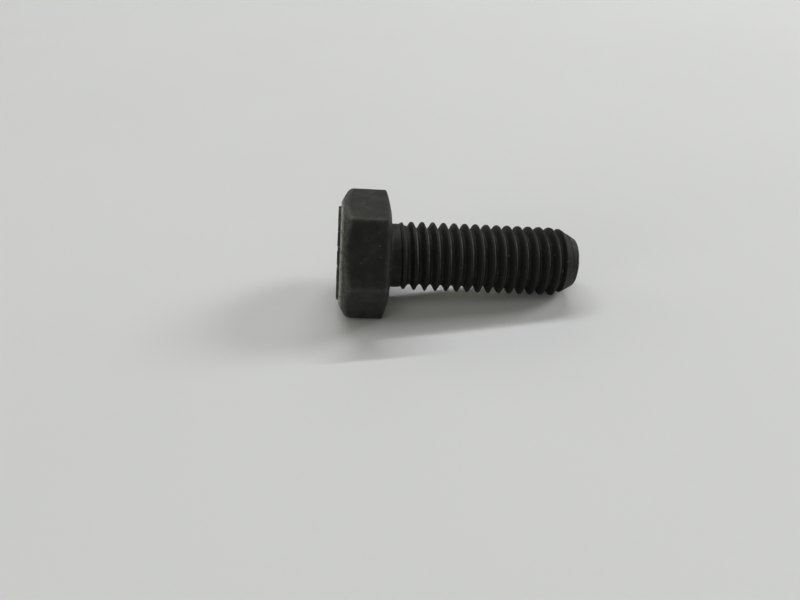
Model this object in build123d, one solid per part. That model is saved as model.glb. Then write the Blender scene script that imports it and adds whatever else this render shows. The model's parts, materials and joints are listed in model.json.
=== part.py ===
from build123d import *
import math
import os

# Hexagon head screw, threaded up to a short plain neck under the head.
# One cold-forged steel piece with a rolled metric thread, lying on its side:
# it rests on one flat of its head, at the underside, and on its last full thread.
# Lengths are in millimetres and angles in degrees.

# Head
width_across_flats = 13.0       # for a 13 mm spanner
head_height = 5.6
head_edge_radius = 0.4          # round of the six edges between the flats
top_chamfer_angle = 30.0        # both chamfers are measured from the head's faces
top_face_diameter = 11.8        # what the top chamfer leaves of the crown
underside_chamfer_angle = 14.0
bearing_face_diameter = 10.6    # what the underside chamfer leaves
neck_blend = 0.3                # bevel that blends the neck into the bearing face

# Raised dashes around the crown
dash_count = 16
dash_arc = 17.5
dash_width = 0.9
dash_height = 0.3
dash_ring_diameter = 9.8        # through the middle of the dashes
dash_ring_turn = -2.5           # from the middle of a flat to the middle of a dash
dash_seat = 0.2                 # how deep the dashes are rooted in the crown

# Shank
screw_length = 21.7             # from the bearing face to the tip
neck_diameter = 7.3             # the rolled blank's, near the thread's pitch diameter
neck_length = 1.0
tip_cone_angle = 30.0           # measured from the axis
tip_face_diameter = 5.6

# Thread
major_diameter = 7.97
pitch = 1.25
flank_angle = 60.0              # between the two flanks of a groove
early_crest_diameter = 7.7      # of the crests next to the neck
early_crest_rise = 0.4          # from the neck to where they stand that high
crest_build_up = 2.6            # from the neck to where the crests stand full height
groove_run_out = 1.0            # from the neck to where the groove is full depth
first_crest = 0.65              # where a crest crosses the shank's lowest line
groove_stretches = 3            # lengths that the groove is cut in

# Worked out from the sizes above
flat_radius = width_across_flats / 2
crown_slope = math.tan(math.radians(top_chamfer_angle))
under_slope = math.tan(math.radians(underside_chamfer_angle))
neck_radius = neck_diameter / 2
early_crest_radius = early_crest_diameter / 2
major_radius = major_diameter / 2
tip_radius = tip_face_diameter / 2
crest_flat = pitch / 8
half_flank = math.radians(flank_angle / 2)
groove_depth = 0.6134 * pitch   # of a metric screw's thread
root_radius = major_radius - groove_depth
cone_start = screw_length - (major_radius - tip_radius) / math.tan(
    math.radians(tip_cone_angle)
)
cutter_clearance = pitch / 16   # how far the groove's cutter stands out of the crests


def revolved(points):
    """Solid of revolution about Z from a closed outline of (radius, height) points."""
    outline = Polyline(*[(radius, 0, height) for radius, height in points], close=True)
    return revolve(make_face(outline), Axis.Z)


def crown_and_underside_cones():
    """Solid of revolution that the head's prism is trimmed to, with both chamfers."""
    top = top_face_diameter / 2
    bearing = bearing_face_diameter / 2
    rim = (head_height + top * crown_slope + bearing * under_slope) / (
        crown_slope + under_slope
    )
    rim_height = -(rim - bearing) * under_slope
    return revolved(
        [
            (0, -head_height),
            (top, -head_height),
            (rim, rim_height),
            (bearing, 0),
            (0, 0),
        ]
    )


def head():
    """Hexagonal head with rounded edges, one flat facing local +X."""
    hexagon = RegularPolygon(flat_radius, 6, major_radius=False, rotation=30)
    prism = extrude(hexagon, -head_height)
    prism = fillet(prism.edges().filter_by(Axis.Z), head_edge_radius)
    return prism & crown_and_underside_cones()


def crown_dash():
    """One raised arc dash, standing on the crown."""
    middle = dash_ring_diameter / 2
    sector = CenterArc((0, 0), middle, -dash_arc / 2, dash_arc)
    strip = trace(sector, dash_width)
    bar = extrude(strip, dash_height + dash_seat)
    return Pos(0, 0, -head_height - dash_height) * bar


def envelope():
    """Shank as it would be with its groove filled in, from inside the neck to the tip."""
    rise = (early_crest_radius - neck_radius) / early_crest_rise
    start = neck_length / 2
    return revolved(
        [
            (0, start),
            (neck_radius - rise * (neck_length - start), start),
            (early_crest_radius, neck_length + early_crest_rise),
            (major_radius, neck_length + crest_build_up),
            (major_radius, cone_start),
            (tip_radius, screw_length),
            (0, screw_length),
        ]
    )


def neck_core():
    """Plain neck, and the taper inside the shank that the groove rises out along."""
    fade_start = neck_length + crest_flat
    fade_end = neck_length + groove_run_out
    return revolved(
        [
            (0, 0),
            (neck_radius + neck_blend, 0),
            (neck_radius, neck_blend),
            (neck_radius, fade_start),
            (root_radius - cutter_clearance, fade_end),
            (0, fade_end),
        ]
    )


def groove_stretch(start, turns):
    """Helical cutter of some turns of the thread: a V with a narrow flat root."""
    outer = major_radius + cutter_clearance
    half_at_outer = (pitch - crest_flat) / 2 + cutter_clearance * math.tan(half_flank)
    half_at_root = (pitch - crest_flat) / 2 - groove_depth * math.tan(half_flank)
    section = Polyline(
        (outer, 0, start - half_at_outer),
        (root_radius, 0, start - half_at_root),
        (root_radius, 0, start + half_at_root),
        (outer, 0, start + half_at_outer),
        close=True,
    )
    path = Helix(pitch, turns * pitch, root_radius, center=(0, 0, start))
    return Solid.sweep(make_face(section).face(), path, is_frenet=True)


def threaded_rod():
    """Rod longer than the screw, with the whole groove cut into it."""
    overrun = 3 * pitch
    rod = Cylinder(
        major_radius,
        screw_length + 2 * overrun,
        align=(Align.CENTER, Align.CENTER, Align.MIN),
    )
    rod = Pos(0, 0, -overrun) * rod
    start = first_crest - pitch / 2
    turns = math.ceil((screw_length + pitch - start) / pitch / groove_stretches)
    for number in range(groove_stretches):
        rod -= groove_stretch(start + number * turns * pitch, turns)
    return rod


def screw():
    """The whole screw along local +Z, with its bearing face at height 0."""
    shank = (envelope() & threaded_rod()) + neck_core()
    body = head() + shank
    for number in range(dash_count):
        body += Rot(0, 0, dash_ring_turn + number * 360 / dash_count) * crown_dash()
    return body


def laid_down(body):
    """Turn the screw to lie on the floor, its tip toward +X and its box centred."""
    head_contact = -(flat_radius - bearing_face_diameter / 2) * under_slope
    full_turns = math.floor((cone_start - crest_flat / 2 - first_crest) / pitch)
    crest_contact = first_crest + full_turns * pitch + crest_flat / 2
    nose_down = math.degrees(
        math.atan2(flat_radius - major_radius, crest_contact - head_contact)
    )
    lying = Rot(0, 90 + nose_down, 0) * body
    box = lying.bounding_box()
    return Pos(-box.center().X, -box.center().Y, -box.min.Z) * lying


os.makedirs("parts", exist_ok=True)
hex_head_screw = laid_down(screw())
export_step(hex_head_screw, "parts/hex_head_screw.step")
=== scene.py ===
import json
import math

import bmesh
import bpy
from mathutils import Matrix, Vector


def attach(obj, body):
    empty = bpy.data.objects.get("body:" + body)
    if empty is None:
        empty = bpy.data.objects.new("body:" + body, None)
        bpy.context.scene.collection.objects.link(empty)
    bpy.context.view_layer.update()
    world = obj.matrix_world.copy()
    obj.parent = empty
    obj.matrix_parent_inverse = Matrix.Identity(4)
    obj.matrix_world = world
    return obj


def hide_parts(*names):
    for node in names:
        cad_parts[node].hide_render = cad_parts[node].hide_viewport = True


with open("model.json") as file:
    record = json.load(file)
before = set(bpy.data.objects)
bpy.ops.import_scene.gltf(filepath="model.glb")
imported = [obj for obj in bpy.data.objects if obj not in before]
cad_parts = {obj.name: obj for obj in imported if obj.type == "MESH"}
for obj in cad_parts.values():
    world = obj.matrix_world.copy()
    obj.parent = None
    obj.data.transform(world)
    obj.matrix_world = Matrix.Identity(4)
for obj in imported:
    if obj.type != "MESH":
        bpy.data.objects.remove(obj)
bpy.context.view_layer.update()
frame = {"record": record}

mm = 0.001

# The screw's own Z runs along its axis from the bearing face to the tip, and its own X points
# down, out of the flat that it rests on.
mounts = {mount["name"]: mount for mount in frame["record"]["mounts"]}
alongScrew = Vector(mounts["thread"]["axis"]).normalized()
onAxis = Vector(mounts["thread"]["pos_m"])
toBearing = (Vector(mounts["bearing_face"]["pos_m"]) - onAxis).dot(alongScrew)
across = Vector((0, 1, 0))
outOfLowestFlat = across.cross(alongScrew)
place = Matrix(
    (
        (*outOfLowestFlat,),
        (*across,),
        (*alongScrew,),
    )
).transposed().to_4x4()
place.translation = onAxis + toBearing * alongScrew


# head: rings of points, run from the middle of the crown round to the neck

headValues = {  # millimetres and degrees
    "acrossFlats": 13.0,
    "height": 5.6,
    "edgeRound": 0.4,
    "topFaceDiameter": 11.8,
    "topChamferAngle": 30,
    "bearingFaceDiameter": 10.6,
    "undersideAngle": 14,
    "crownCornerRound": 0.5,
    "chamferCornerRound": 0.8,
    "undersideCornerRound": 0.55,  # along the flats
    "undersideTipRound": 0.25,  # at the corners of the hexagon
    "undersideTipReach": 20,  # from a corner to where the round is that of the flats
    "bearingCornerRound": 0.2,
    "dashCount": 16,
    "dashArc": 17.5,
    "dashRingTurn": -2.5,
    "dashWidth": 0.9,
    "dashHeight": 0.3,
    "dashRingDiameter": 9.8,
    "dashSlope": 0.14,  # how far the sides of a dash spread
    "dashWear": 0.1,
    "cornerWear": (0.9, 0.2, 0.04, 0.08),  # crown, chamfer, underside and bearing face
    "cornerWearAtEnds": 0.35,  # share of it where a round meets the faces
    "edgeWear": 0.08,  # on the six long edges
    "edgeWornTo": 3,
    "rimWearAndHighlight": 1.45,  # wear and painted highlight at the crown's edge; above 1 it is whole for a while before it fades
    "rimBandFall": 0.25,  # how far down the chamfer that falls by 1
    "hubDiameter": 8.6,  # where the head's rings meet the shank's
    "besideCorners": (0, 0.5, 1.0, 1.55, 2.3),  # where columns stand by the hexagon's corners
    "besideDashEnds": 0.8,
    "closestColumns": 0.35,  # between neighbours
    "widestColumns": 3.6,
    "crownRings": (1.1, 2.2, 3.2, 3.9),  # radii of the rings inside the dashes
}


def smoothStep(value):
    value = min(max(value, 0.0), 1.0)
    return value * value * (3 - 2 * value)


# distance from the axis to the rounded hexagon at an angle from a flat's middle
def hexRadius(angle):
    apothem = headValues["acrossFlats"] / 2
    edgeRound = headValues["edgeRound"]
    sector = math.radians(60)
    fromFlat = abs((angle + sector / 2) % sector - sector / 2)
    roundCentre = (apothem - edgeRound) / math.cos(sector / 2)
    tangent = math.atan2(roundCentre * math.sin(sector / 2), apothem)
    if fromFlat <= tangent:
        return apothem / math.cos(fromFlat)
    toCorner = sector / 2 - fromFlat
    return roundCentre * math.cos(toCorner) + math.sqrt(
        edgeRound**2 - (roundCentre * math.sin(toCorner)) ** 2
    )


# angles of the columns of points, closest at the hexagon's corners and the dashes' ends
def columnAngles():
    v = headValues
    wanted = []
    for corner in range(30, 390, 60):
        for beside in v["besideCorners"]:
            wanted += [corner - beside, corner + beside]
    for dash in range(v["dashCount"]):
        middle = v["dashRingTurn"] + 360 * dash / v["dashCount"]
        for end in (middle - v["dashArc"] / 2, middle + v["dashArc"] / 2):
            wanted += [end - v["besideDashEnds"], end, end + v["besideDashEnds"]]
    kept = []
    for angle in sorted(angle % 360 for angle in wanted):
        if not kept or angle - kept[-1] > v["closestColumns"]:
            kept.append(angle)
    angles = []
    for angle, after in zip(kept, kept[1:] + [kept[0] + 360]):
        parts = math.ceil((after - angle) / v["widestColumns"])
        angles += [angle + (after - angle) * part / parts for part in range(parts)]
    return [math.radians(angle) for angle in angles]


# how far the crown stands out at a point, from 0 beside the dashes to 1 on them
def dashRise(radius, angle):
    step = 360 / headValues["dashCount"]
    slope = headValues["dashSlope"]
    fromFirst = math.degrees(angle) - headValues["dashRingTurn"]
    fromMiddle = abs((fromFirst + step / 2) % step - step / 2)
    pastEnd = math.radians(fromMiddle - headValues["dashArc"] / 2) * radius
    pastSide = abs(radius - headValues["dashRingDiameter"] / 2) - headValues["dashWidth"] / 2
    return smoothStep(0.5 - pastEnd / slope) * smoothStep(0.5 - pastSide / slope)


# points of an arc that rounds one corner of an outline, ends included
def roundedCorner(before, corner, after, radius, steps=4):
    before, corner, after = Vector(before), Vector(corner), Vector(after)
    toBefore = (before - corner).normalized()
    toAfter = (after - corner).normalized()
    halfAngle = toBefore.angle(toAfter) / 2
    reach = radius / math.tan(halfAngle)
    centre = corner + (toBefore + toAfter).normalized() * (radius / math.sin(halfAngle))
    start = corner + toBefore * reach - centre
    turn = start.angle_signed(corner + toAfter * reach - centre)
    points = []
    for step in range(steps + 1):
        angle = -turn * step / steps
        c, s = math.cos(angle), math.sin(angle)
        points.append(centre + Vector((start.x * c - start.y * s, start.x * s + start.y * c)))
    return points


# (radius, height, wear and painted highlight) points from the crown's middle to the hub, at one
# angle
def headOutline(angle):
    v = headValues
    topRadius = v["topFaceDiameter"] / 2
    bearingRadius = v["bearingFaceDiameter"] / 2
    side = hexRadius(angle)
    chamferFoot = -v["height"] + (side - topRadius) * math.tan(math.radians(v["topChamferAngle"]))
    undersideTop = -(side - bearingRadius) * math.tan(math.radians(v["undersideAngle"]))
    corners = [
        (0, -v["height"]),
        (topRadius, -v["height"]),
        (side, chamferFoot),
        (side, undersideTop),
        (bearingRadius, 0),
        (v["hubDiameter"] / 2, 0),
    ]
    fromCorner = abs(math.degrees(offCorner(angle)))
    alongFlat = smoothStep(fromCorner / v["undersideTipReach"])
    undersideRound = v["undersideTipRound"]
    undersideRound += (v["undersideCornerRound"] - undersideRound) * alongFlat
    rounds = [
        v["crownCornerRound"],
        v["chamferCornerRound"],
        undersideRound,
        v["bearingCornerRound"],
    ]
    arcs = [
        roundedCorner(corners[i], corners[i + 1], corners[i + 2], rounds[i]) for i in range(4)
    ]

    points = []
    ring = v["dashRingDiameter"] / 2
    half = v["dashWidth"] / 2
    slope = v["dashSlope"] / 2
    sideSteps = [slope * share for share in (-1.3, -1, -0.4, 0.4, 1, 1.3)]
    crown = list(v["crownRings"])
    crown += [ring - half + step for step in sideSteps]
    crown += [ring - half / 3, ring + half / 3]
    crown += [ring + half + step for step in sideSteps]
    for radius in crown:
        rise = dashRise(radius, angle)
        onRim = 4 * rise * (1 - rise)
        points.append((radius, -v["height"] - v["dashHeight"] * rise, v["dashWear"] * onRim))

    # the rounds, and where points stand on the chamfer, the flat and the underside after them
    edgeWear = v["edgeWear"] * max(0.0, 1 - fromCorner / v["edgeWornTo"])
    atEnds = v["cornerWearAtEnds"]
    stretches = [(0.12, 0.5, 0.88), (0.05, 0.2, 0.4, 0.6, 0.8, 0.95), (0.12, 0.5, 0.88)]
    for i, arc in enumerate(arcs):
        onEdge = edgeWear if i in (1, 2) else 0
        for k, point in enumerate(arc):
            fade = math.sin(math.pi * k / (len(arc) - 1))
            wearAndHighlight = v["cornerWear"][i] * (atEnds + (1 - atEnds) * fade)
            points.append((point.x, point.y, max(wearAndHighlight, rimWearAndHighlight(point.y), onEdge)))
        if i < len(stretches):
            for share in stretches[i]:
                point = arc[-1].lerp(arcs[i + 1][0], share)
                points.append((point.x, point.y, max(edgeWear, rimWearAndHighlight(point.y))))
    points.append((v["hubDiameter"] / 2, 0, 0))
    return points


# how worn the chamfer is at a height, with a painted highlight along the crown's edge: most at
# the crown's edge, none a little further on
def rimWearAndHighlight(height):
    fromCrown = height + headValues["height"]
    return max(0.0, headValues["rimWearAndHighlight"] - fromCrown / headValues["rimBandFall"])


# angle from the nearest corner of the hexagon
def offCorner(angle):
    sector = math.radians(60)
    return (angle % sector) - sector / 2


def forgedHead():
    angles = columnAngles()
    columns = [headOutline(angle) for angle in angles]
    rows = len(columns[0])
    count = len(columns)
    positions = [(0, 0, -headValues["height"])]
    wearAndHighlight = [0.0]
    for row in range(rows):
        for angle, column in zip(angles, columns):
            radius, height, wornAndHighlit = column[row]
            positions.append((radius * math.cos(angle), radius * math.sin(angle), height))
            wearAndHighlight.append(wornAndHighlit)
    faces = []
    for i in range(count):
        after = (i + 1) % count
        faces.append((0, 1 + after, 1 + i))
        for row in range(rows - 1):
            base = 1 + row * count
            faces.append((base + i, base + after, base + count + after, base + count + i))
    mesh = bpy.data.meshes.new("forgedHead")
    mesh.from_pydata(positions, [], faces)
    mesh.attributes.new("wearAndHighlight", "FLOAT", "POINT").data.foreach_set("value", wearAndHighlight)
    return mesh


# shank: a grid wound along the thread, its rows closest to the head drawn in to the hub

shankValues = {  # millimetres and degrees
    "length": 21.7,
    "neckDiameter": 7.3,
    "neckLength": 1.0,
    "neckRound": 0.35,
    "tipConeAngle": 30,
    "tipFaceDiameter": 5.6,
    "tipRound": 0.16,
    "majorDiameter": 7.97,
    "pitch": 1.25,
    "flankAngle": 60,
    "earlyCrestDiameter": 7.7,  # of the crests next to the neck
    "earlyCrestRise": 0.4,  # past the neck, to where they stand that high
    "crestBuildUp": 2.6,  # past the neck, to where the crests stand full height
    "grooveRunOut": 1.8,  # past the neck, to where the groove is full depth
    "firstCrest": 0.69,  # where a crest crosses the shank's lowest line
    "crestSoft": 0.1,  # how far the crests are rounded
    "rootSoft": 0.42,
    "riseSoft": 0.05,  # where the crests stop rising
    "coneSoft": 0.2,
    "neckSoft": 0.12,  # where the groove comes out of the neck
    "hubDrop": 0.5,  # rows this far inside the head have spread to the hub
    "tipLap": 0.1,  # rows this far past the tip begin to close over it
    "crestBandFrom": 0.16,  # the rubbed band, partly a painted highlight, from the middle of a crest towards the tip
    "crestBandMost": 0.25,
    "crestBandTo": 0.4,
    "crestHighlightUpward": 1.4,  # painted light: how much dimmer the crests' band is on the side they lie on, away from the lamps above
    "looksFrom": 0.5,  # past the neck, where the thread's own looks begin
    "looksToCone": 0.1,  # they fade a little way down the tip's cone
    "looksFade": 0.3,
    "neckShadeTo": 0.8,
    "neckShade": 0.3,  # share of the thread's painted shade that the neck has
    "columns": 80,
    "rowsPerPitch": 32,
}

wholeShankValues = ("columns", "rowsPerPitch")
grooveDepthPerPitch = 0.6134  # of a metric screw's thread
mergedWithin = 0.001  # millimetres


# adds nodes to a tree, so that its sums can be written as calls
class NodeWriter:
    def __init__(self, tree):
        self.tree = tree

    def put(self, kind, inputs=(), **settings):
        node = self.tree.nodes.new(kind)
        for name, value in settings.items():
            setattr(node, name, value)
        for key, value in dict(inputs).items():
            self.set(node.inputs[key], value)
        return node

    def set(self, socket, value):
        if isinstance(value, bpy.types.NodeSocket):
            self.tree.links.new(value, socket)
        else:
            socket.default_value = value

    def calc(self, operation, *values):
        node = self.tree.nodes.new("ShaderNodeMath")
        node.operation = operation
        for socket, value in zip(node.inputs, values):
            self.set(socket, value)
        return node.outputs[0]


def rolledShankTree(material):
    tree = bpy.data.node_groups.new("rolledShank", "GeometryNodeTree")
    face = tree.interface
    face.new_socket("Head", in_out="INPUT", socket_type="NodeSocketGeometry")
    for name, value in shankValues.items():
        kind = "NodeSocketInt" if name in wholeShankValues else "NodeSocketFloat"
        face.new_socket(name, in_out="INPUT", socket_type=kind).default_value = value
    face.new_socket("hubDiameter", in_out="INPUT", socket_type="NodeSocketFloat")
    face.new_socket("Screw", in_out="OUTPUT", socket_type="NodeSocketGeometry")
    w = NodeWriter(tree)
    given = w.put("NodeGroupInput").outputs
    calc = w.calc

    pitch = given["pitch"]
    halfPitch = calc("DIVIDE", pitch, 2)
    crestFlat = calc("DIVIDE", pitch, 8)
    neckRadius = calc("DIVIDE", given["neckDiameter"], 2)
    majorRadius = calc("DIVIDE", given["majorDiameter"], 2)
    tipRadius = calc("DIVIDE", given["tipFaceDiameter"], 2)
    grooveDepth = calc("MULTIPLY", pitch, grooveDepthPerPitch)
    coneSlope = calc("TANGENT", calc("RADIANS", given["tipConeAngle"]))
    flankSlope = calc("TANGENT", calc("RADIANS", calc("DIVIDE", given["flankAngle"], 2)))

    # the grid reaches three turns further than the screw, two of them inside the head, so that
    # its slanting ends can be gathered: to the hub, and to the middle of the tip's face
    spareTurns, turnsInHead = 3, 2
    turns = calc("ADD", calc("CEIL", calc("DIVIDE", given["length"], pitch)), spareTurns)
    grid = w.put(
        "GeometryNodeMeshGrid",
        {
            "Size X": 1.0,
            "Size Y": 1.0,
            "Vertices X": calc("ADD", given["columns"], 1),
            "Vertices Y": calc("ADD", calc("MULTIPLY", turns, given["rowsPerPitch"]), 1),
        },
    )
    spot = w.put("ShaderNodeSeparateXYZ", {0: w.put("GeometryNodeInputPosition").outputs[0]})
    turn = calc("ADD", spot.outputs["X"], 0.5)
    start = calc("SUBTRACT", given["firstCrest"], calc("MULTIPLY", pitch, turnsInHead))
    along = calc("ADD", spot.outputs["Y"], 0.5)
    row = calc("ADD", start, calc("MULTIPLY", calc("MULTIPLY", turns, pitch), along))
    height = calc("ADD", row, calc("MULTIPLY", turn, pitch))

    # one groove across, as a depth below the crest
    fromFirst = calc("SUBTRACT", row, given["firstCrest"])
    fromCrest = calc("PINGPONG", fromFirst, halfPitch)
    flank = calc("DIVIDE", calc("SUBTRACT", fromCrest, calc("DIVIDE", crestFlat, 2)), flankSlope)
    opened = calc("SMOOTH_MAX", flank, 0.0, given["crestSoft"])
    depth = calc("SMOOTH_MIN", opened, grooveDepth, given["rootSoft"])

    # what the crests reach: built up from the neck, and cut back by the tip's cone
    pastNeck = calc("SUBTRACT", height, given["neckLength"])
    earlyRadius = calc("DIVIDE", given["earlyCrestDiameter"], 2)
    firstRise = calc("DIVIDE", calc("SUBTRACT", earlyRadius, neckRadius), given["earlyCrestRise"])
    laterRise = calc(
        "DIVIDE",
        calc("SUBTRACT", majorRadius, earlyRadius),
        calc("SUBTRACT", given["crestBuildUp"], given["earlyCrestRise"]),
    )
    pastRise = calc("SUBTRACT", pastNeck, given["earlyCrestRise"])
    early = calc("ADD", neckRadius, calc("MULTIPLY", pastNeck, firstRise))
    later = calc("ADD", earlyRadius, calc("MULTIPLY", pastRise, laterRise))
    risen = calc("SMOOTH_MIN", early, later, given["riseSoft"])
    crests = calc("SMOOTH_MIN", risen, majorRadius, given["riseSoft"])
    toTip = calc("SUBTRACT", given["length"], height)
    cone = calc("ADD", tipRadius, calc("MULTIPLY", toTip, coneSlope))
    reach = calc("SMOOTH_MIN", crests, cone, given["coneSoft"])

    # what is left inside: the neck, which the groove rises out along
    rootRadius = calc("SUBTRACT", majorRadius, grooveDepth)
    fadeLength = calc("SUBTRACT", given["grooveRunOut"], crestFlat)
    fade = calc("DIVIDE", calc("SUBTRACT", neckRadius, rootRadius), fadeLength)
    pastFade = calc("MAXIMUM", calc("SUBTRACT", pastNeck, crestFlat), 0.0)
    core = calc("SUBTRACT", neckRadius, calc("MULTIPLY", pastFade, fade))
    grooved = calc("MINIMUM", reach, calc("SUBTRACT", majorRadius, depth))
    body = calc("SMOOTH_MAX", core, grooved, given["neckSoft"])

    # a round where the neck meets the head, and the spread of the gathered rows to the hub
    neckRound = given["neckRound"]
    climb = calc("MINIMUM", calc("DIVIDE", calc("MAXIMUM", height, 0.0), neckRound), 1.0)
    stillToClimb = calc("POWER", calc("SUBTRACT", 1.0, climb), 2.0)
    sag = calc("SQRT", calc("MAXIMUM", calc("SUBTRACT", 1.0, stillToClimb), 0.0))
    flare = calc("MULTIPLY", neckRound, calc("SUBTRACT", 1.0, sag))
    hubRadius = calc("DIVIDE", given["hubDiameter"], 2)
    hubGap = calc("SUBTRACT", hubRadius, calc("ADD", neckRadius, neckRound))
    inHead = calc("MAXIMUM", calc("MULTIPLY", height, -1.0), 0.0)
    below = calc("MINIMUM", calc("DIVIDE", inHead, given["hubDrop"]), 1.0)
    atNeck = calc("ADD", calc("ADD", body, flare), calc("MULTIPLY", hubGap, below))

    # past the tip the rows close over its face
    over = calc("SUBTRACT", calc("MULTIPLY", toTip, -1.0), given["tipLap"])
    closing = calc("SUBTRACT", 1.0, calc("MINIMUM", calc("MAXIMUM", over, 0.0), 1.0))
    radius = calc("MULTIPLY", atNeck, closing)
    level = calc("SMOOTH_MIN", calc("MAXIMUM", height, 0.0), given["length"], given["tipRound"])

    # how worn each point is, the crests' band partly a painted highlight that fades towards the
    # side the screw lies on, how deep in the groove, how far from the crest on either side and
    # towards the tip, and whether it has the thread's looks, painted shade among them, kept while
    # the grid is still flat
    pastCrest = calc("WRAP", fromFirst, halfPitch, calc("MULTIPLY", halfPitch, -1.0))
    bandIn = calc(
        "DIVIDE",
        calc("SUBTRACT", pastCrest, given["crestBandFrom"]),
        calc("SUBTRACT", given["crestBandMost"], given["crestBandFrom"]),
    )
    bandOut = calc(
        "DIVIDE",
        calc("SUBTRACT", given["crestBandTo"], pastCrest),
        calc("SUBTRACT", given["crestBandTo"], given["crestBandMost"]),
    )
    wornAndHighlit = calc("MAXIMUM", calc("MINIMUM", calc("MINIMUM", bandIn, bandOut), 1.0), 0.0)
    angle = calc("MULTIPLY", turn, 2 * math.pi)
    # painted light: the crests' band fades from the top of the screw to the side it lies on
    facingDown = calc("COSINE", angle)
    upward = calc("SUBTRACT", 0.5, calc("MULTIPLY", facingDown, 0.5))
    wornAndHighlit = calc("MULTIPLY", wornAndHighlit, calc("POWER", upward, given["crestHighlightUpward"]))
    toCone = calc("ADD", calc("SUBTRACT", cone, majorRadius), given["looksToCone"])
    beforeCone = calc("DIVIDE", toCone, given["looksFade"])
    pastRunOut = calc("SUBTRACT", pastNeck, given["looksFrom"])
    onThread = calc("MINIMUM", calc("MINIMUM", beforeCone, pastRunOut), 1.0)
    onThread = calc("MAXIMUM", onThread, 0.0)
    # painted shade: the neck takes a share of the thread's darkening
    shadedNeck = calc("MULTIPLY", calc("LESS_THAN", pastNeck, given["neckShadeTo"]), given["neckShade"])
    sunk = calc("DIVIDE", calc("SUBTRACT", reach, body), grooveDepth)
    sunk = calc("MINIMUM", calc("MAXIMUM", sunk, 0.0), calc("LESS_THAN", height, given["length"]))
    shape = grid.outputs["Mesh"]
    for name, value in (
        ("wearAndHighlight", calc("MULTIPLY", wornAndHighlit, onThread)),
        ("groove", sunk),
        ("fromCrest", fromCrest),
        ("pastCrest", pastCrest),
        ("threaded", calc("MAXIMUM", onThread, shadedNeck)),
    ):
        shape = w.put(
            "GeometryNodeStoreNamedAttribute",
            {"Geometry": shape, "Name": name, "Value": value},
            data_type="FLOAT",
            domain="POINT",
        ).outputs[0]

    # wound into the screw, closed up and joined to the head
    wound = w.put(
        "GeometryNodeSetPosition",
        {
            "Geometry": shape,
            "Position": w.put(
                "ShaderNodeCombineXYZ",
                {
                    "X": calc("MULTIPLY", radius, calc("COSINE", angle)),
                    "Y": calc("MULTIPLY", radius, calc("SINE", angle)),
                    "Z": level,
                },
            ).outputs[0],
        },
    )
    merged = w.put(
        "GeometryNodeMergeByDistance", {"Geometry": wound.outputs[0], "Distance": mergedWithin}
    )
    joined = w.put("GeometryNodeJoinGeometry")
    tree.links.new(given["Head"], joined.inputs[0])
    tree.links.new(merged.outputs[0], joined.inputs[0])
    real = w.put("GeometryNodeRealizeInstances", {"Geometry": joined.outputs[0]})
    coloured = w.put(
        "GeometryNodeSetMaterial", {"Geometry": real.outputs[0], "Material": material}
    )
    out = w.put("NodeGroupOutput")
    tree.links.new(coloured.outputs[0], out.inputs[0])
    return tree


def buildScrew(material):
    source = bpy.data.objects.new("screwSource", forgedHead())
    bpy.context.collection.objects.link(source)
    tree = rolledShankTree(material)
    modifier = source.modifiers.new("rolledShank", "NODES")
    modifier.node_group = tree
    sockets = {
        item.name: item.identifier
        for item in tree.interface.items_tree
        if item.in_out == "INPUT"
    }
    for name, value in shankValues.items():
        modifier[sockets[name]] = value
    modifier[sockets["hubDiameter"]] = float(headValues["hubDiameter"])
    evaluated = source.evaluated_get(bpy.context.evaluated_depsgraph_get())
    mesh = bpy.data.meshes.new_from_object(evaluated)
    bpy.data.objects.remove(source)

    # close the ring between the head's last row and the shank's first, then lay the screw down
    shell = bmesh.new()
    shell.from_mesh(mesh)
    rims = [edge for edge in shell.edges if edge.is_boundary]
    print("rim edges to bridge:", len(rims))
    bmesh.ops.bridge_loops(shell, edges=rims)
    bmesh.ops.recalc_face_normals(shell, faces=shell.faces)
    for face in shell.faces:
        face.smooth = True
    stray = [vert for vert in shell.verts if not vert.link_faces]
    bmesh.ops.delete(shell, geom=stray, context="VERTS")
    openEdges = [edge for edge in shell.edges if not edge.is_manifold]
    print("open edges:", len(openEdges), "volume", shell.calc_volume())
    shell.to_mesh(mesh)
    shell.free()
    mesh.transform(place @ Matrix.Scale(mm, 4))
    mesh.materials.clear()
    mesh.materials.append(material)
    screw = bpy.data.objects.new("screwBody", mesh)
    bpy.context.collection.objects.link(screw)
    triangles = sum(len(face.vertices) - 2 for face in mesh.polygons)
    print("screw built:", len(mesh.vertices), "points,", triangles, "triangles")
    return screw


# black finish: dull, mottled, thin on the edges and crests, with painted shade on the thread and
# painted highlights on its crests and roots

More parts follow.
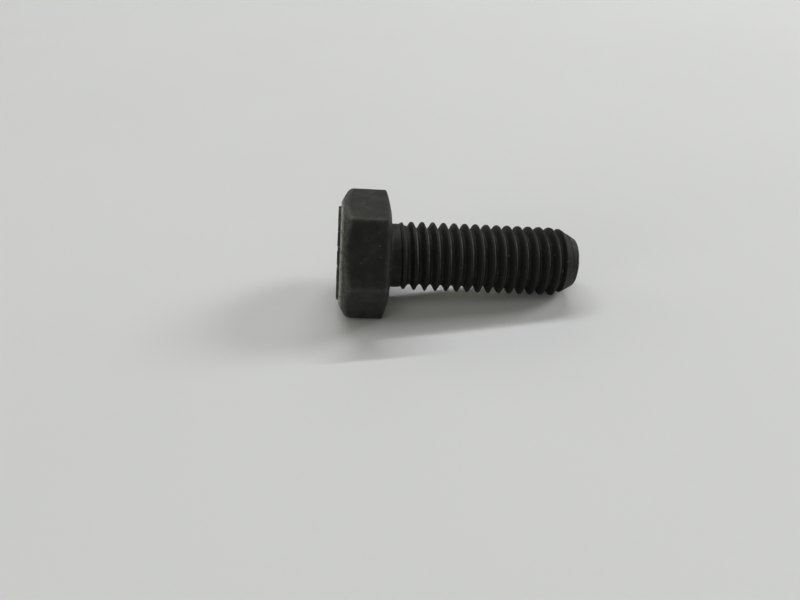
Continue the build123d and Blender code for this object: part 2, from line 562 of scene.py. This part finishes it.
finishValues = {
    "skinColour": (0.0070, 0.0073, 0.0062, 1),
    "paleSkinColour": (0.0160, 0.0165, 0.0133, 1),
    # painted shade: the colour that darkens the thread and the bottoms of its grooves
    "grooveShadeColour": (0.0052, 0.0055, 0.0052, 1),
    # painted light: the paler colour of the groove sides that face the tip
    "litFlankColour": (0.0125, 0.0130, 0.0118, 1),
    # painted highlight along the bottom of each groove
    "rootHighlightColour": (0.024, 0.025, 0.022, 1),
    # wear on the head's edges; on the thread's crests and the crown's edge partly a painted
    # highlight
    "wornAndHighlightColour": (0.31, 0.305, 0.275, 1),
    "nickColour": (0.42, 0.40, 0.36, 1),
    "dustColour": (0.16, 0.155, 0.14, 1),
    "skinSheen": 0.26,  # specular level
    "skinRoughness": 0.55,
    "wornRoughness": 0.38,
    "mottleRoughness": -0.05,  # added to the skin's
    "threadRoughness": 0.15,
    "mottleSize": 1.6,  # millimetres, like the next ones
    "grainSize": 0.16,
    "nickSize": 0.45,
    "rootHighlightSize": 0.9,
    "rubSize": 0.5,
    "dustSize": 0.22,
    "swellSize": 0.7,
    "grainHeight": 0.012,
    "swellHeight": 1.2,  # as shares of the grain's height
    "lineHeight": 0.8,
    "nickDepth": 1.5,
    "linesAcross": 22.0,  # how fast the rolling lines change, per millimetre across the groove
    "linesAlong": 450.0,  # per metre along it
    "paintedThreadShade": 0.8,
    "litFlankShare": 0.7,
    "threadRubAndHighlight": 0.8,  # how much of the rub and painted highlight the crests take
    "headBare": 0.6,  # how much of what is rubbed is bare metal
    "threadBare": 0.25,
    "nickBare": 0.3,
}


# noise with features of a size in millimetres
def noise(w, vector, size, detail=3.0, roughness=0.55, distortion=0.0):
    node = w.put(
        "ShaderNodeTexNoise",
        {
            "Vector": vector,
            "Scale": 1 / (size * mm),
            "Detail": detail,
            "Roughness": roughness,
            "Distortion": distortion,
        },
    )
    return node.outputs[0]


# a value's smooth step from low to high, as a change from start to end
def spread(w, value, low, high, start=0.0, end=1.0):
    node = w.put(
        "ShaderNodeMapRange",
        {"Value": value, "From Min": low, "From Max": high, "To Min": start, "To Max": end},
        clamp=True,
    )
    node.interpolation_type = "SMOOTHSTEP"
    return node.outputs[0]


def mix(w, share, first, second):
    node = w.put("ShaderNodeMix", data_type="RGBA")
    w.set(node.inputs["Factor"], share)
    w.set(node.inputs["A"], first)
    w.set(node.inputs["B"], second)
    return node.outputs["Result"]


def blackFinish():
    v = finishValues
    material = bpy.data.materials.new("blackFinish")
    material.use_nodes = True
    tree = material.node_tree
    tree.nodes.clear()
    w = NodeWriter(tree)
    spot = w.put("ShaderNodeTexCoord").outputs["Object"]
    wearAndHighlight, groove, fromCrest, threaded, pastCrest = [
        w.put("ShaderNodeAttribute", attribute_name=name).outputs["Fac"]
        for name in ("wearAndHighlight", "groove", "fromCrest", "threaded", "pastCrest")
    ]

    def times(first, second):
        return w.calc("MULTIPLY", first, second)

    # the skin: mottled, with painted shade darkening the thread, painted light making the side of
    # each groove next to the tip paler, and a painted highlight along its bottom
    mottle = spread(w, noise(w, spot, v["mottleSize"], 4.0, 0.6, 0.4), 0.38, 0.68)
    grain = noise(w, spot, v["grainSize"], 4.0, 0.65)
    skin = mix(w, mottle, v["skinColour"], v["paleSkinColour"])
    speckle = spread(w, grain, 0.36, 0.66, 0.72, 1.3)
    skin = w.put(
        "ShaderNodeVectorMath", {0: skin, 1: speckle}, operation="MULTIPLY"
    ).outputs[0]
    # painted shade over the thread, deepest down in the grooves
    paintedShade = w.calc("MAXIMUM", times(threaded, v["paintedThreadShade"]), spread(w, groove, 0.0, 0.4))
    skin = mix(w, paintedShade, skin, v["grooveShadeColour"])
    # painted light on the side of each groove facing the tip
    litFlank = times(spread(w, groove, 0.02, 0.2), spread(w, pastCrest, 0.1, 0.3))
    skin = mix(w, times(litFlank, v["litFlankShare"]), skin, v["litFlankColour"])
    # painted highlight along each groove's root, broken up by noise
    rootHighlight = times(spread(w, fromCrest, 0.5, 0.6), spread(w, groove, 0.3, 0.6))
    uneven = spread(w, noise(w, spot, v["rootHighlightSize"], 2.0), 0.35, 0.6, 0.3, 1.0)
    rootHighlight = times(rootHighlight, uneven)
    skin = mix(w, rootHighlight, skin, v["rootHighlightColour"])

    # rubbed edges and crests, the crests' band and the crown's edge partly a painted highlight,
    # nicks in them, and specks of dust
    broken = spread(w, noise(w, spot, v["rubSize"], 3.0, 0.6), 0.3, 0.62, 0.4, 1.0)
    taken = spread(w, threaded, 0.0, 1.0, 1.0, v["threadRubAndHighlight"])
    # the rubbed mask also carries the painted highlight along the thread's crests and the crown's
    # edge
    rubbedAndHighlit = times(wearAndHighlight, times(broken, taken))
    rubbedAndHighlit = times(rubbedAndHighlit, spread(w, grain, 0.3, 0.6, 0.6, 1.0))
    colour = mix(w, rubbedAndHighlit, skin, v["wornAndHighlightColour"])
    nickNoise = noise(w, spot, v["nickSize"], 1.0, 0.5)
    nicks = times(spread(w, nickNoise, 0.735, 0.76), spread(w, wearAndHighlight, 0.2, 0.7))
    colour = mix(w, nicks, colour, v["nickColour"])
    dust = spread(w, noise(w, spot, v["dustSize"], 0.0), 0.80, 0.83)
    dust = times(dust, spread(w, mottle, 0.2, 0.8, 0.2, 0.8))
    colour = mix(w, dust, colour, v["dustColour"])

    rough = w.calc("ADD", spread(w, grain, 0.3, 0.7, -0.06, 0.08), v["skinRoughness"])
    for share, change in (
        (mottle, v["mottleRoughness"]),
        (rubbedAndHighlit, v["wornRoughness"] - v["skinRoughness"]),
        (paintedShade, v["threadRoughness"]),
    ):
        rough = w.calc("ADD", rough, times(share, change))

    # rolling lines run along the thread, on top of the grain of the black skin
    parts = w.put("ShaderNodeSeparateXYZ", {0: spot}).outputs
    rolled = w.put(
        "ShaderNodeCombineXYZ",
        {
            0: times(fromCrest, v["linesAcross"]),
            1: times(parts["Y"], v["linesAlong"]),
            2: times(parts["Z"], v["linesAlong"]),
        },
    ).outputs[0]
    lines = w.put(
        "ShaderNodeTexNoise", {"Vector": rolled, "Scale": 1.0, "Detail": 2.0}
    ).outputs[0]
    inGroove = spread(w, groove, 0.0, 0.1)
    relief = w.calc("ADD", grain, times(times(lines, v["lineHeight"]), inGroove))
    swell = noise(w, spot, v["swellSize"], 2.0)
    relief = w.calc("ADD", relief, times(swell, v["swellHeight"]))
    relief = w.calc("SUBTRACT", relief, times(nicks, v["nickDepth"]))
    bump = w.put(
        "ShaderNodeBump",
        {"Strength": 1.0, "Distance": v["grainHeight"] * mm, "Height": relief},
    )

    bare = times(rubbedAndHighlit, spread(w, threaded, 0.0, 1.0, v["headBare"], v["threadBare"]))
    metal = w.calc("ADD", bare, times(nicks, v["nickBare"]))
    shader = w.put(
        "ShaderNodeBsdfPrincipled",
        {
            "Base Color": colour,
            "Roughness": rough,
            "Metallic": w.calc("MINIMUM", metal, 1.0),
            "Normal": bump.outputs[0],
            "Specular IOR Level": v["skinSheen"],
            "IOR": 1.5,
        },
    )
    w.put("ShaderNodeOutputMaterial", {"Surface": shader.outputs[0]})
    return material


screwBody = buildScrew(blackFinish())
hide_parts("hex_head_screw")
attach(screwBody, "root")


# pale paper to lie on, and the light

stageValues = {
    "paperRadius": 1.6,
    "paperFade": (0.45, 0.9),  # from where to where the paper turns into the wall
    "paperColour": (0.648, 0.648, 0.643, 1),
    "paperRoughness": 0.9,
    "paperSheen": 0.1,
    "cloudSize": 60.0,  # millimetres
    "cloudShade": 0.985,  # how dark the paper's clouds are
    "wallColour": (0.60, 0.60, 0.59, 1),
    "wallTop": (0.08, 0.24),  # from where to where the pale wall gives way, as a height's sine
    "ceilingColour": (0.160, 0.160, 0.138, 1),
}

lampValues = {  # degrees round from +X and above the floor, metres and watts
    "tubeOverhead": {
        "turn": 90, "height": 63, "away": 1.2,
        "size": (1.2, 0.05), "power": 7.35, "colour": (0.985, 1, 1.03),
    },
    "windowRight": {
        "turn": 10, "height": 35, "away": 0.7,
        "size": (0.23, 0.23), "power": 1.9, "colour": (0.985, 1, 1.03),
    },
    "wallBehind": {
        "turn": 90, "height": 35, "away": 1.2,
        "size": (0.8, 0.3), "power": 0.85, "colour": (1, 1, 0.8),
    },
    "wallInFront": {
        "turn": -90, "height": 60, "away": 1.2,
        "size": (0.8, 0.4), "power": 1.33, "colour": (0.97, 1, 1.02),
    },
    "wallLeft": {
        "turn": 150, "height": 25, "away": 1.2,
        "size": (0.6, 0.4), "power": 1.4, "colour": (1, 1, 0.9),
    },
    "doorLeft": {
        "turn": 215, "height": 15, "away": 1.2,
        "size": (0.6, 0.4), "power": 2.0, "colour": (1, 1, 0.9),
    },
}


def paper():
    v = stageValues
    material = bpy.data.materials.new("whitePaper")
    material.use_nodes = True
    tree = material.node_tree
    w = NodeWriter(tree)
    shader = tree.nodes["Principled BSDF"]
    spot = w.put("ShaderNodeTexCoord").outputs["Object"]
    clouds = spread(w, noise(w, spot, v["cloudSize"], 2.0), 0.3, 0.7)
    pale = v["paperColour"]
    dim = tuple(v["cloudShade"] * channel for channel in pale[:3]) + (1,)
    w.set(shader.inputs["Base Color"], mix(w, clouds, dim, pale))
    w.set(shader.inputs["Roughness"], v["paperRoughness"])
    w.set(shader.inputs["Specular IOR Level"], v["paperSheen"])
    away = w.put("ShaderNodeVectorMath", {0: spot}, operation="LENGTH").outputs["Value"]
    wall = w.put("ShaderNodeEmission", {"Color": v["wallColour"], "Strength": 1.0})
    blend = w.put("ShaderNodeMixShader", {0: spread(w, away, *v["paperFade"])})
    w.set(blend.inputs[1], shader.outputs[0])
    w.set(blend.inputs[2], wall.outputs[0])
    w.set(tree.nodes["Material Output"].inputs["Surface"], blend.outputs[0])
    mesh = bpy.data.meshes.new("paper")
    disc = bmesh.new()
    bmesh.ops.create_circle(disc, cap_ends=True, segments=96, radius=v["paperRadius"])
    disc.to_mesh(mesh)
    disc.free()
    mesh.materials.append(material)
    sheet = bpy.data.objects.new("paper", mesh)
    bpy.context.collection.objects.link(sheet)
    return sheet


def light():
    v = stageValues
    world = bpy.data.worlds.new("room")
    bpy.context.scene.world = world
    world.use_nodes = True
    tree = world.node_tree
    tree.nodes.clear()
    w = NodeWriter(tree)
    upward = w.put(
        "ShaderNodeSeparateXYZ", {0: w.put("ShaderNodeTexCoord").outputs["Generated"]}
    ).outputs["Z"]
    room = mix(w, spread(w, upward, *v["wallTop"]), v["wallColour"], v["ceilingColour"])
    seen = w.put("ShaderNodeBackground", {"Color": room, "Strength": 1.0})
    w.put("ShaderNodeOutputWorld", {"Surface": seen.outputs[0]})
    for name, lamp in lampValues.items():
        data = bpy.data.lights.new(name, "AREA")
        data.shape = "RECTANGLE"
        data.size, data.size_y = lamp["size"]
        data.energy = lamp["power"]
        data.color = lamp["colour"]
        holder = bpy.data.objects.new(name, data)
        turn, height = math.radians(lamp["turn"]), math.radians(lamp["height"])
        towards = Vector((math.cos(turn), math.sin(turn), math.tan(height))).normalized()
        holder.location = towards * lamp["away"]
        holder.rotation_euler = (-towards).to_track_quat("-Z", "Y").to_euler()
        bpy.context.collection.objects.link(holder)


cameraValues = {
    "at": (-0.0082, -0.0665, 0.04605),
    "aim": (-0.00685, -0.00874, 0.00604),
    "roll": -3.28,  # degrees
    "lens": 30.05,  # millimetres
    "sensorWidth": 36,
    "clipStart": 0.005,  # metres, like the first two
}


def camera():
    v = cameraValues
    data = bpy.data.cameras.new("viewer")
    data.lens = v["lens"]
    data.sensor_width = v["sensorWidth"]
    data.clip_start = v["clipStart"]
    holder = bpy.data.objects.new("viewer", data)
    aim = (Vector(v["aim"]) - Vector(v["at"])).to_track_quat("-Z", "Y").to_matrix()
    holder.matrix_world = (
        Matrix.Translation(Vector(v["at"]))
        @ (aim @ Matrix.Rotation(math.radians(v["roll"]), 3, "Z")).to_4x4()
    )
    bpy.context.collection.objects.link(holder)
    bpy.context.scene.camera = holder


paper()
light()
camera()
bpy.context.scene.view_settings.view_transform = "Standard"
print("stage, light and camera ready")
